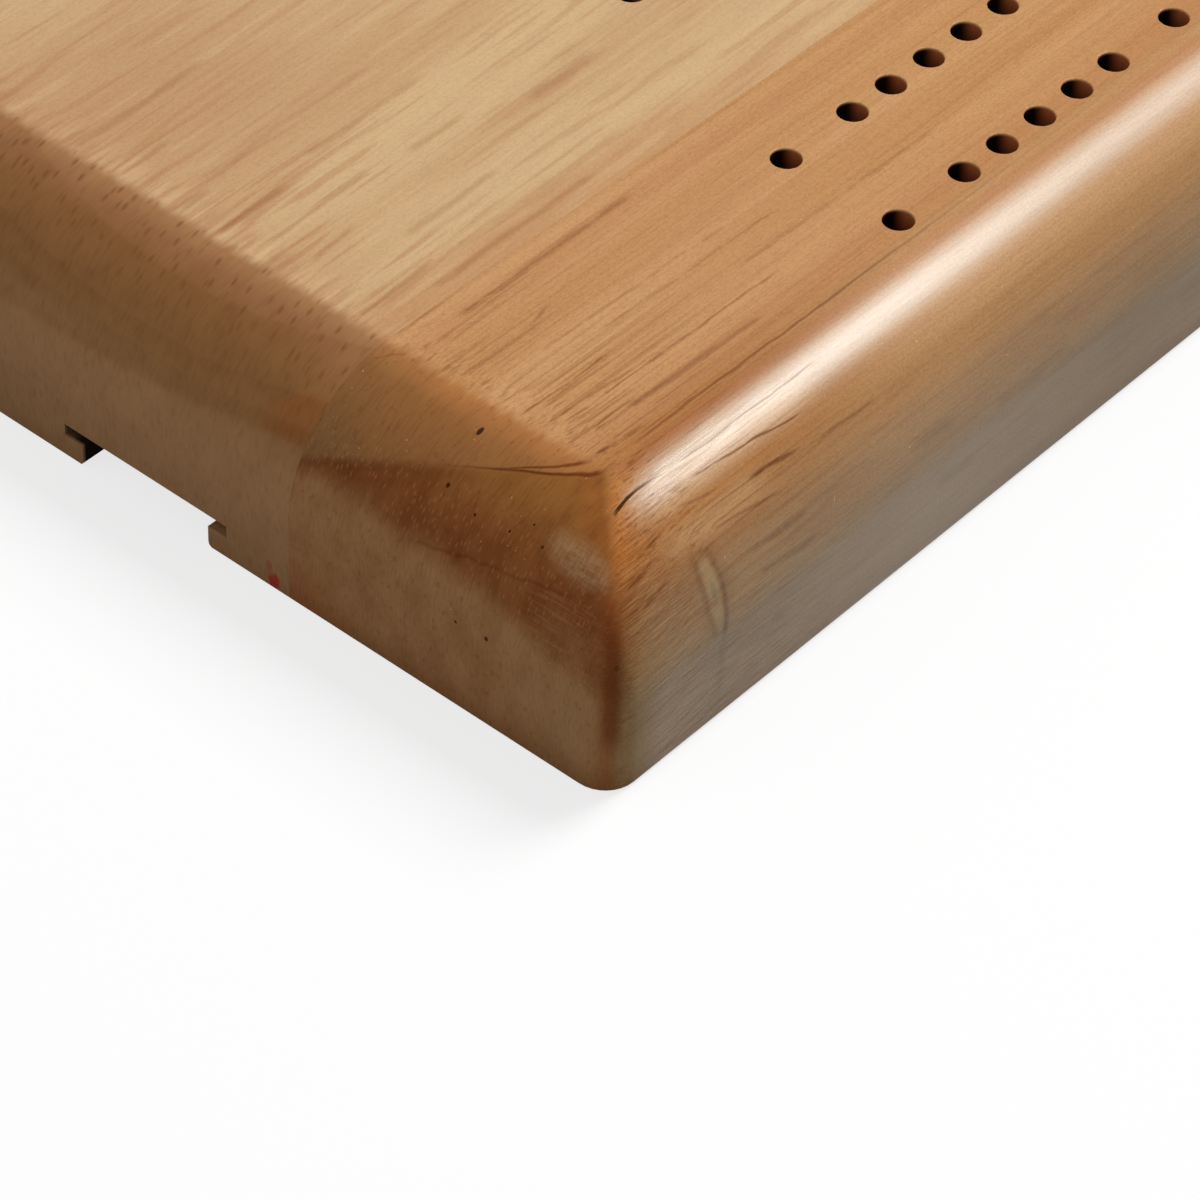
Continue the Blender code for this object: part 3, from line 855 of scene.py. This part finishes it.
material, start = new_material("far_stave_varnished")
place = wood_place(start)
along, across, up = place.axes()
facing = start.node("ShaderNodeTexCoord", {}, {}, output="Normal")
end_gap, side_gap = edge_gaps(along, across)
end_down = way_down(end_gap, up)
under = facing.axes()[2].rise(-0.5, -0.9)
mitre = (end_gap - side_gap).size() + under * 20
ragged = (place.noise((0.35, 1.9, 0.6), detail=2) - 0.5) * 0.28
endwise = end_share(facing, end_gap, side_gap, end_down, ragged)
this_end = endwise * along.rise(130, 128)
sidewise = 1 - endwise
wander = place.noise((0.16, 0.5, 0.5), detail=2) - 0.5
drifted = start.node("ShaderNodeCombineXYZ", {}, {0: along, 1: across - along * GRAIN_DRIFT, 2: up})

# The pale planed wood, warmer by the glue line and at the end.
broad = drifted.noise((0.015, 0.13, 0.13), detail=2).rise(0.36, 0.62)
colour = broad.mixed(rgb(196, 158, 115), rgb(206, 173, 129))
warm = across.near(65.0, 17, 5) * along.rise(46, 22)
colour = (warm * 0.75).mixed(colour, rgb(186, 143, 102))
colour = (along.rise(22, 11) * 0.40).mixed(colour, rgb(192, 150, 108))
seam_tint = (across + wander * 2.5).rise(36.4, 32.4) * (along.rise(62, 34) * 0.6 + 0.4)
colour = (seam_tint * 0.90).mixed(colour, rgb(191, 143, 98))
colour = (up.rise(17.5, 12) * 0.6).mixed(colour, rgb(180, 140, 98))

# Vessel dashes and fibres along the grain.
dashes = drifted.noise((0.085, 1.15, 1.15), detail=1.5, shift=(2, 1, 4))
thin_dashes = drifted.noise((0.06, 2.4, 2.4), detail=1, shift=(5, 5, 5))
fibres = drifted.noise((0.05, 6, 6), detail=2, roughness=0.6)
grain = place.noise((3.5, 7, 7), detail=1, shift=(2, 6, 4))
near_end = along.rise(30, 12)
marks = dashes.rise(0.54, 0.68) * (near_end * 0.28 + 0.44) * sidewise
colour = marks.mixed(colour, rgb(183, 135, 94))
marks = thin_dashes.rise(0.58, 0.76) * (near_end * 0.25 + 0.25) * sidewise
colour = marks.mixed(colour, rgb(172, 120, 80))
colour = (dashes.rise(0.44, 0.28) * sidewise * 0.25).mixed(colour, rgb(218, 186, 142))
marks = fibres.rise(0.45, 0.8) * sidewise * 0.26
colour = marks.toned(colour, (0.78, 0.70, 0.62))
colour = (grain.rise(0.42, 0.70) * 0.35).toned(colour, (0.78, 0.71, 0.66))
colour = (grain.rise(0.45, 0.25) * 0.25).toned(colour, (1.14, 1.12, 1.10))
marks = 0
for line in FAR_FLECKS:
    marks = marks + fleck(along, across, wander * 0.9, line)
marks = marks * sidewise * up.rise(18.4, 18.7)
colour = (marks * 0.80).toned(colour, (0.70, 0.55, 0.44))

# Dark fibres along the edge of the rounded end, and a painted highlight along its rim in pale
# dashes.
at_edge = along.rise(14.0, 11.6) * along.rise(9.6, 10.4)
fibres_and_rim_glint = drifted.noise((0.12, 1.6, 1.6), detail=1, shift=(8, 3, 3))
colour = (fibres_and_rim_glint.rise(0.50, 0.66) * at_edge * 0.34).mixed(colour, rgb(162, 108, 70))
# Painted highlight: pale dashes along the rim.
colour = (fibres_and_rim_glint.rise(0.50, 0.34) * at_edge * 0.20).mixed(colour, rgb(228, 194, 148))

# The end grain with its curved rings.
off_middle = (across - ARC_MIDDLE_MM) ** 2
mottle = place.noise((0.3, 0.45, 0.25), detail=3, shift=(3, 3, 3)).rise(0.3, 0.7)
depth_share = (end_down + wander) / ROUND_DEPTH_MM
end_wood = start.node("ShaderNodeValToRGB", {"stops": FAR_END_TONES}, {0: depth_share})
end_wood = (mottle * 0.6).toned(end_wood, (0.86, 0.84, 0.82))
patch = ellipse(across - (end_down - 9) * 0.5, end_down, PATCH_MM, PATCH_HALF_MM)
by_seam = across.rise(37, 32) * end_down.near(5.0, 3.5, 1.5)
end_wood = (by_seam * 0.6).toned(end_wood, (1.20, 1.20, 1.20))
end_wood = (patch.rise(1.3, 0.2) * 0.55).mixed(end_wood, rgb(148, 90, 44))
colour = endwise.mixed(colour, end_wood)
for depth, curve, reach, share in ARC_LINES:
    off = end_down + off_middle * curve - depth + wander * 0.7
    arc_line = off.rise(-0.25, 0.1) * off.rise(reach * 2.4, 0.1) * endwise
    colour = (arc_line * share).toned(colour, (0.74, 0.66, 0.54))
heart_depth, heart_middle, heart_curve = HEART_EDGE_MM
edge = end_down - heart_depth + (across - heart_middle) ** 2 * heart_curve + wander * 0.7
heart_edge = edge.rise(0.5, -0.3) * edge.rise(-1.6, -0.3) * endwise
colour = (heart_edge * 0.35).toned(colour, (0.76, 0.64, 0.52))

# Sawn texture and open pores of the end grain.
streaks = place.noise((0.3, 4.2, 1.0), detail=3)
colour = (streaks.rise(0.45, 0.7) * endwise * 0.40).toned(colour, (0.80, 0.72, 0.64))
sideways = across * 1.45 + end_down * 0.2 + wander
cells, pores, number = grain_cells(start, sideways, end_down * 0.52)
pores = pores.rise(0.36, 0.08) * number.rise(0.15, 0.75) * endwise
pores = pores * (end_down.rise(10, 3) * 0.70 + 0.30)
colour = (pores * 0.58).mixed(colour, rgb(112, 70, 38))

# Two spots of red marker by the glue line.
blotch = place.noise((1, 1.6, 1.6), detail=1, shift=(3, 6, 1)) - 0.5
for mark_y, mark_down, half_y, half_down, share in RED_MARKS:
    distance = ellipse(across, end_down, (mark_y, mark_down), (half_y, half_down))
    red_mark = (distance + blotch * 2).rise(1.7, 0.1) * this_end * share
    colour = red_mark.mixed(colour, rgb(158, 40, 32))

# The mitre, painted shade along the foot and in the channel, painted light and shade in the drilled
# holes, and the bare wood of the channel.
mitre_dark = mitre.rise(3.5, 0.2) * up.rise(18.6, 15.0)
colour = (mitre_dark * 0.6).toned(colour, (0.66, 0.48, 0.34))

# Painted shade: darker towards the foot, where the board meets the floor.
colour = (up.rise(2.6, 0.2) * (1 - under) * 0.40).toned(colour, (0.72, 0.62, 0.54))
in_hole = up.rise(18.75, 18.5) * up.rise(9.4, 9.8) * end_gap.rise(12, 13) * across.rise(82, 81)
colour = in_hole.mixed(colour, hole_colour(facing, rgb(172, 104, 62), rgb(28, 18, 13)))
cut = up.rise(9.4, 9.3) * up.rise(0.05, 0.4) * (across - SIDE_MIDDLE_MM).size().rise(8.8, 8.6)
raw = cut * along.rise(0.12, 0.30) * along.rise(200, 190)
raw_wood = fibres.rise(0.3, 0.8).mixed(rgb(196, 158, 116), rgb(172, 130, 90))
# Painted shade: the bare wood is darker just inside the channel's mouth.
raw_wood = (along.rise(10, 3) * 0.6).mixed(raw_wood, rgb(116, 78, 47))
# Painted shade: near black on the channel's far wall and groove, towards the mouth.
painted_channel_shade = (across + wander).rise(48, 51) * (across.rise(54.6, 53.2) * 0.4 + 0.6) * along.rise(34, 16)
raw_wood = (painted_channel_shade * 0.97).mixed(raw_wood, rgb(34, 27, 26))
colour = raw.mixed(colour, raw_wood)

coat = (fibres * 0.5 + 0.62) * sidewise + endwise * END_COAT
coat = coat * (1 - raw) * (1 - in_hole)
glossy_wood(start, colour, coat, fibres * sidewise + streaks * endwise * 0.6 + grain * 0.2)
far_stave.data.materials.append(material)
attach(far_stave, "board")
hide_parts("far_stave")


# Lid
# A strip of sheet steel that slides in the two side grooves and covers the peg pocket.
# It is blanked with a round inner end and a half-round thumb notch, deburred and brushed.

LID_CORNER = 0.0015
NOTCH_RADIUS = 0.0030
LID_DEBURR = 0.00008
NOTCH_STEPS = 24

half = lid_high.y
outline = arc(lid_high.x - half, 0, half, -1, 1, 2 * STADIUM_STEPS)
outline += arc(lid_low.x + LID_CORNER, half - LID_CORNER, LID_CORNER, 1, 2, CORNER_STEPS)
outline += arc(lid_low.x, 0, NOTCH_RADIUS, 1, -1, NOTCH_STEPS)
outline += arc(lid_low.x + LID_CORNER, LID_CORNER - half, LID_CORNER, 2, 3, CORNER_STEPS)
form = bmesh.new()
levels = []
for height in (lid_low.z, lid_high.z):
    levels.append([form.verts.new((x, y, height)) for x, y in outline])
bridge(form, levels)
rims = [edge for edge in form.edges if abs(edge.verts[0].co.z - edge.verts[1].co.z) < LID_DEBURR]
bmesh.ops.bevel(form, geom=rims, offset=LID_DEBURR, segments=2, affect="EDGES", profile=0.5)
lid = finished(form, "lid_steel_strip")
smooth(lid)

material, start = new_material("lid_brushed_steel")
place = wood_place(start)
brushing = place.noise((0.08, 9, 9), detail=3)
colour = brushing.mixed(rgb(196, 197, 198), rgb(216, 216, 214))
surface = start.node(
    "ShaderNodeBsdfPrincipled",
    {},
    {"Base Color": colour, "Roughness": brushing * 0.15 + 0.26, "Metallic": 1},
)
start.node("ShaderNodeOutputMaterial", {}, {"Surface": surface})
lid.data.materials.append(material)
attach(lid, "lid")
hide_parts("lid")


# Pegs
# Each player's three pegs, turned from brass or steel rod: a tapered shank that fits the holes,
# a collar, a thin waist and a ball head. They lie loose in the pocket, tips to the middle.

PEG_SIDES = 40
PEG_COLLAR_Z = 0.0080
PEG_COLLAR_HEIGHT = 0.0012
PEG_WAIST_RADIUS = 0.0010
PEG_TIP_RADIUS = 0.0009
PEG_SHANK_RADIUS = 0.00105
PEG_EDGE = 0.00015
BALL_STEPS = 18
EDGE_STEPS = 3


def peg_profile(length, head):
    """Pairs of radius and height from the tip up to the top of the ball."""
    reach = math.acos(PEG_WAIST_RADIUS / head)
    collar_top = PEG_COLLAR_Z + PEG_COLLAR_HEIGHT
    profile = [(0, 0)]
    profile += arc(PEG_TIP_RADIUS - PEG_EDGE, PEG_EDGE, PEG_EDGE, -1, 0, EDGE_STEPS)
    profile += [(PEG_SHANK_RADIUS, PEG_COLLAR_Z)]
    profile += arc(head - PEG_EDGE, PEG_COLLAR_Z + PEG_EDGE, PEG_EDGE, -1, 0, EDGE_STEPS)
    profile += arc(head - PEG_EDGE, collar_top - PEG_EDGE, PEG_EDGE, 0, 1, EDGE_STEPS)
    profile += [(PEG_WAIST_RADIUS, collar_top + PEG_COLLAR_HEIGHT)]
    for step in range(BALL_STEPS):
        angle = -reach + (math.pi / 2 + reach) * step / BALL_STEPS
        profile.append((head * math.cos(angle), length - head + head * math.sin(angle)))
    return profile + [(0, length)]


def add_peg(node, heading, material):
    """A peg in place of a node. Its head points along heading."""
    low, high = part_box(node)
    form = bmesh.new()
    length, head = high.x - low.x, (high.z - low.z) / 2
    turn(form, peg_profile(length, head), PEG_SIDES)
    peg = finished(form, node + "_turned")
    tip_x = low.x if heading > 0 else high.x
    middle = (low + high) / 2
    lying = Matrix.Rotation(math.pi / 2 * heading, 4, "Y")
    peg.matrix_world = Matrix.Translation((tip_x, middle.y, middle.z)) @ lying
    smooth(peg)
    peg.data.materials.append(material)
    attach(peg, node)
    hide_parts(node)
    return peg


def turned_metal(name, bright, dull, roughness):
    """Metal off the lathe: fine rings round the axis, and a little tarnish."""
    material, start = new_material(name)
    place = start.node("ShaderNodeTexCoord", {}, {}, output="Object").scaled((MM, MM, MM))
    rings = place.noise((0.05, 0.05, 9), detail=2)
    tarnish = place.noise((0.5, 0.5, 0.5), detail=3).rise(0.35, 0.75)
    surface = start.node(
        "ShaderNodeBsdfPrincipled",
        {},
        {
            "Base Color": tarnish.mixed(bright, dull),
            "Roughness": rings * 0.1 + tarnish * 0.12 + roughness,
            "Metallic": 1,
        },
    )
    start.node("ShaderNodeOutputMaterial", {}, {"Surface": surface})
    return material


brass = turned_metal("peg_turned_brass", rgb(226, 190, 112), rgb(184, 142, 74), 0.16)
steel = turned_metal("peg_turned_steel", rgb(205, 205, 206), rgb(168, 168, 170), 0.14)
for number in (1, 2, 3):
    add_peg(f"brass_peg_{number}", -1, brass)
    add_peg(f"steel_peg_{number}", 1, steel)


# Floor
# A plain white sheet under the board. It keeps the board's shadow.

FLOOR_REACH = 6.0
FLOOR_WHITE = 0.75
FLOOR_LIGHT = 0.9
FLOOR_BOUNCE = 0.25


def seen_rays(start):
    """1 for what the camera sees, also in a mirror or through glass, and 0 for light on things."""
    rays = start.node("ShaderNodeLightPath", {}, {}, output="Is Camera Ray")
    seen = rays.math("MAXIMUM", rays, rays.other("Is Glossy Ray"))
    return seen.math("MAXIMUM", seen, rays.other("Is Transmission Ray"))


form = bmesh.new()
bmesh.ops.create_grid(form, x_segments=1, y_segments=1, size=FLOOR_REACH)
floor = finished(form, "floor")
material, start = new_material("floor_white")
seen = seen_rays(start)
shade = seen * (FLOOR_LIGHT - FLOOR_BOUNCE) + FLOOR_BOUNCE
lit = start.node("ShaderNodeBsdfDiffuse", {}, {"Color": shade})
white = start.node("ShaderNodeEmission", {}, {"Color": (1, 1, 1, 1), "Strength": 1})
surface = start.node("ShaderNodeMixShader", {}, {0: seen * FLOOR_WHITE, 1: lit, 2: white})
start.node("ShaderNodeOutputMaterial", {}, {"Surface": surface})
floor.data.materials.append(material)


# Light
# One large soft box behind the board and to the right, and walls all round that are paler on
# the left. Seen directly or mirrored, the walls fade to white at the horizon.

BOX_TOWARDS = Vector((0.58, -0.063, 0.81)).normalized()
BOX_DISTANCE = 1.6
BOX_WIDTH = 0.46
BOX_HEIGHT = 0.80
BOX_POWER = 24.5
WALL_SHADE = 0.16
LEFT_WALL_SHADE = 0.80

lamp = bpy.data.lights.new("soft_box", "AREA")
lamp.shape = "RECTANGLE"
lamp.size = BOX_WIDTH
lamp.size_y = BOX_HEIGHT
lamp.energy = BOX_POWER
soft_box = bpy.data.objects.new("soft_box", lamp)
bpy.context.scene.collection.objects.link(soft_box)
near_corner = Vector((BLOCK_LOW.x, BLOCK_LOW.y, BLOCK_HIGH.z))
soft_box.location = near_corner + BOX_TOWARDS * BOX_DISTANCE
soft_box.rotation_euler = BOX_TOWARDS.to_track_quat("Z", "Y").to_euler()

world = bpy.data.worlds.new("pale_walls")
bpy.context.scene.world = world
world.use_nodes = True
world.node_tree.nodes.clear()
start = Shade(world.node_tree)
direction = start.node("ShaderNodeTexCoord", {}, {}, output="Generated")
leftness = start.node("ShaderNodeSeparateXYZ", {}, {0: direction})
height = leftness.other(2)
seen = seen_rays(start)
wall = leftness.rise(0.2, -0.9).mixed((WALL_SHADE,) * 3 + (1,), (LEFT_WALL_SHADE,) * 3 + (1,))
walls = (height.rise(0.3, 0.1) * seen).mixed(wall, (1, 1, 1, 1))
surface = start.node("ShaderNodeBackground", {}, {"Color": walls, "Strength": 1})
start.node("ShaderNodeOutputWorld", {}, {"Surface": surface})


# Camera
# The photograph's viewpoint, close above the near corner, with a long lens.

CAMERA_PLACE = (-0.31444, -0.19396, 0.24133)
CAMERA_AZIMUTH = math.radians(38.883)
CAMERA_ELEVATION = math.radians(43.035)
CAMERA_ROLL = math.radians(2.837)
LENS = 142.83
SENSOR = 36.0

forward = Vector(
    (
        math.cos(CAMERA_ELEVATION) * math.cos(CAMERA_AZIMUTH),
        math.cos(CAMERA_ELEVATION) * math.sin(CAMERA_AZIMUTH),
        -math.sin(CAMERA_ELEVATION),
    )
)
view = bpy.data.cameras.new("camera")
view.lens = LENS
view.sensor_width = SENSOR
view.clip_start = 0.01
view.clip_end = 50
camera = bpy.data.objects.new("camera", view)
bpy.context.scene.collection.objects.link(camera)
turned = forward.to_track_quat("-Z", "Y").to_matrix().to_4x4()
rolled = turned @ Matrix.Rotation(CAMERA_ROLL, 4, "Z")
camera.matrix_world = Matrix.Translation(CAMERA_PLACE) @ rolled
bpy.context.scene.camera = camera
bpy.context.scene.view_settings.view_transform = "Standard"
